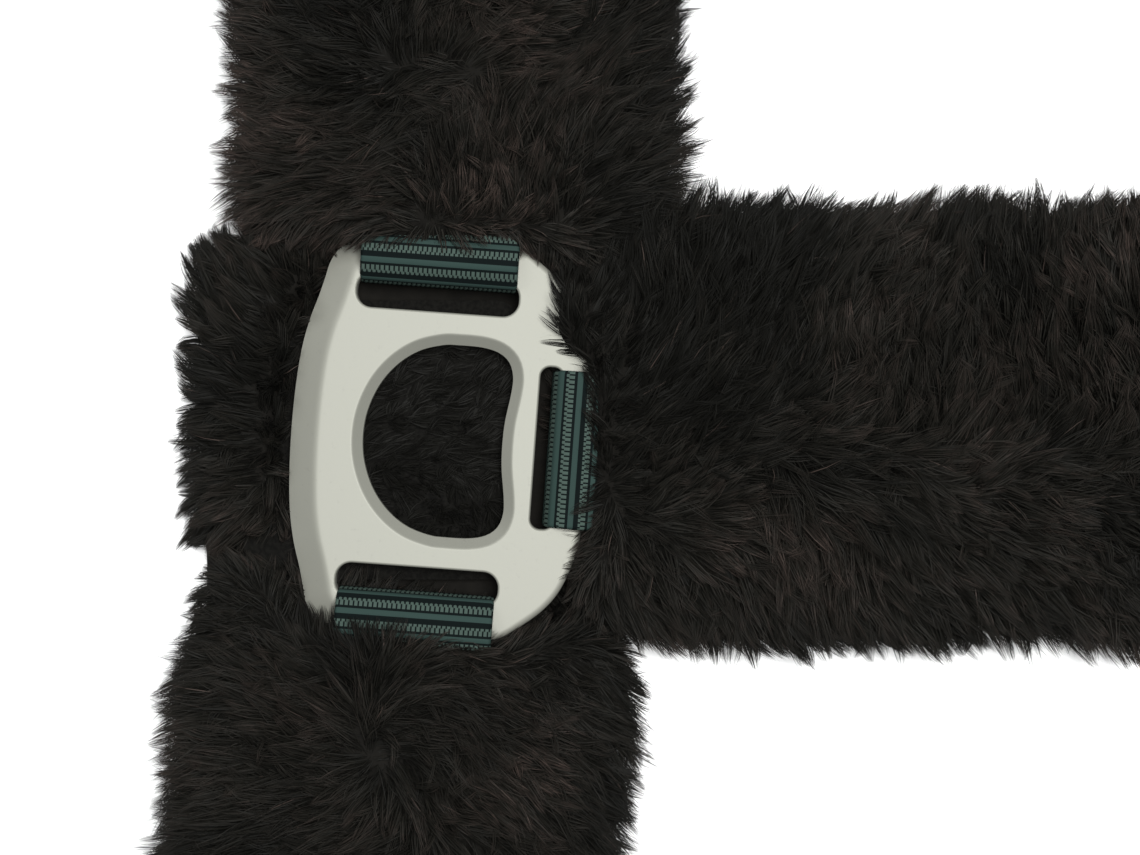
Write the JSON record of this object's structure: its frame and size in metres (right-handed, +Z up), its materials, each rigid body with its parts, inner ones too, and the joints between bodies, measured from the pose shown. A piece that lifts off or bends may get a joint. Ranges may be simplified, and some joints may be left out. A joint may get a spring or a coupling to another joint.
{
  "type": "horse breastplate",
  "caption": "Elastic webbing breastplate in dark faux-fur sleeves, joined at three-slot metal plates, with snap hooks, a buckled neck strap and a martingale ring.",
  "frame": {"origin": "middle of the laid-out footprint, on the surface it lies on", "axes": "+X along the chest band towards the right-hand plate, +Y towards the withers, +Z up from the surface through the outer face"},
  "size_m": [1.2388, 0.4958, 0.024],
  "materials": {
    "cast_alloy": "satin",
    "elastic_webbing": "matte",
    "faux_fur": "matte",
    "pad_base": "matte",
    "closure_tape": "matte",
    "thread": "matte",
    "nickel_steel": "satin"
  },
  "bodies": {
    "chest": {"chest_webbing": "elastic_webbing", "chest_sleeve_left": "faux_fur", "chest_sleeve_right": "faux_fur", "chest_closure_left": "closure_tape", "chest_closure_right": "closure_tape", "martingale_tab": "elastic_webbing", "martingale_stitching": "thread"},
    "ring": {"martingale_ring": "nickel_steel"},
    "junction_left": {"plate_left": "cast_alloy", "pad_fur_left": "faux_fur", "pad_base_left": "pad_base"},
    "side_left": {"side_webbing_left": "elastic_webbing", "side_sleeve_left": "faux_fur", "side_closure_left": "closure_tape", "slider_left": "nickel_steel", "side_stitching_left": "thread"},
    "neck_left": {"neck_webbing_left": "elastic_webbing", "neck_sleeve_left": "faux_fur", "neck_closure_left": "closure_tape", "keeper_fixed": "elastic_webbing", "buckle_stitching": "thread"},
    "eye_left": {"snap_eye_left": "nickel_steel"},
    "snap_left": {"snap_body_left": "nickel_steel", "gate_pin_left": "nickel_steel", "gate_spring_left": "nickel_steel"},
    "gate_left": {"snap_gate_left": "nickel_steel"},
    "junction_right": {"plate_right": "cast_alloy", "pad_fur_right": "faux_fur", "pad_base_right": "pad_base"},
    "side_right": {"side_webbing_right": "elastic_webbing", "side_sleeve_right": "faux_fur", "side_closure_right": "closure_tape", "slider_right": "nickel_steel", "side_stitching_right": "thread"},
    "neck_right": {"neck_webbing_right": "elastic_webbing", "neck_sleeve_right": "faux_fur", "neck_closure_right": "closure_tape", "billet_eyelets": "nickel_steel", "billet_tip": "nickel_steel"},
    "eye_right": {"snap_eye_right": "nickel_steel"},
    "snap_right": {"snap_body_right": "nickel_steel", "gate_pin_right": "nickel_steel", "gate_spring_right": "nickel_steel"},
    "gate_right": {"snap_gate_right": "nickel_steel"},
    "buckle": {"buckle_frame": "nickel_steel"},
    "roller": {"buckle_roller": "nickel_steel"},
    "tongue": {"buckle_tongue": "nickel_steel"},
    "keeper": {"keeper_sliding": "elastic_webbing"}
  },
  "joints": [
    {"name": "ring_swing", "type": "hinge", "parent": "chest", "child": "ring", "pos_m": [0.00051, -0.22205, 0.0045], "axis": [-1, 0, 0], "range_deg": [-5, 120]},
    {"name": "plate_fold_left", "type": "hinge", "parent": "chest", "child": "junction_left", "pos_m": [-0.20495, -0.1886, 0.01375], "axis": [-0.0419, 0.9991, 0], "range_deg": [-20, 15]},
    {"name": "side_fold_left", "type": "hinge", "parent": "junction_left", "child": "side_left", "pos_m": [-0.27389, -0.19149, 0.01375], "axis": [-0.0419, 0.9991, 0], "range_deg": [-20, 15]},
    {"name": "neck_fold_left", "type": "hinge", "parent": "junction_left", "child": "neck_left", "pos_m": [-0.2406, -0.16207, 0.01375], "axis": [0.9991, 0.0419, 0], "range_deg": [-20, 70]},
    {"name": "eye_hinge_left", "type": "hinge", "parent": "side_left", "child": "eye_left", "pos_m": [-0.55454, -0.20619, 0.0048], "axis": [-0.0523, 0.9986, 0], "range_deg": [-10, 90]},
    {"name": "snap_swivel_left", "type": "hinge", "parent": "eye_left", "child": "snap_left", "pos_m": [-0.55454, -0.20619, 0.0048], "axis": [-0.9986, -0.0523, 0], "continuous": true},
    {"name": "gate_open_left", "type": "hinge", "parent": "snap_left", "child": "gate_left", "pos_m": [-0.588, -0.21746, 0.0048], "axis": [0, 0, -1], "range_deg": [0, 28], "stiffness_Nm_per_rad": 0.02, "springref_deg": -17.19},
    {"name": "plate_fold_right", "type": "hinge", "parent": "chest", "child": "junction_right", "pos_m": [0.206, -0.18751, 0.01375], "axis": [-0.0732, -0.9973, 0], "range_deg": [-20, 15]},
    {"name": "side_fold_right", "type": "hinge", "parent": "junction_right", "child": "side_right", "pos_m": [0.27481, -0.19256, 0.01375], "axis": [-0.0732, -0.9973, 0], "range_deg": [-20, 15]},
    {"name": "neck_fold_right", "type": "hinge", "parent": "junction_right", "child": "neck_right", "pos_m": [0.24246, -0.16211, 0.01375], "axis": [0.9973, -0.0732, 0], "range_deg": [-20, 70]},
    {"name": "eye_hinge_right", "type": "hinge", "parent": "side_right", "child": "eye_right", "pos_m": [0.55455, -0.2195, 0.0048], "axis": [-0.0958, -0.9954, 0], "range_deg": [-10, 90]},
    {"name": "snap_swivel_right", "type": "hinge", "parent": "eye_right", "child": "snap_right", "pos_m": [0.55455, -0.2195, 0.0048], "axis": [0.9954, -0.0958, 0], "continuous": true},
    {"name": "gate_open_right", "type": "hinge", "parent": "snap_right", "child": "gate_right", "pos_m": [0.58931, -0.2133, 0.0048], "axis": [0, 0, -1], "range_deg": [0, 28], "stiffness_Nm_per_rad": 0.02, "springref_deg": -17.19},
    {"name": "buckle_hinge", "type": "hinge", "parent": "neck_left", "child": "buckle", "pos_m": [-0.2406, 0.18193, 0.004], "axis": [1, 0, 0], "range_deg": [-5, 40]},
    {"name": "roller_spin", "type": "hinge", "parent": "buckle", "child": "roller", "pos_m": [-0.2406, 0.20993, 0.004], "axis": [1, 0, 0], "continuous": true},
    {"name": "tongue_lift", "type": "hinge", "parent": "buckle", "child": "tongue", "pos_m": [-0.2406, 0.18193, 0.004], "axis": [1, 0, 0], "range_deg": [0, 80]},
    {"name": "keeper_slide", "type": "slide", "parent": "neck_left", "child": "keeper", "axis": [0, 1, 0], "range_m": [-0.014, 0.01]}
  ]
}
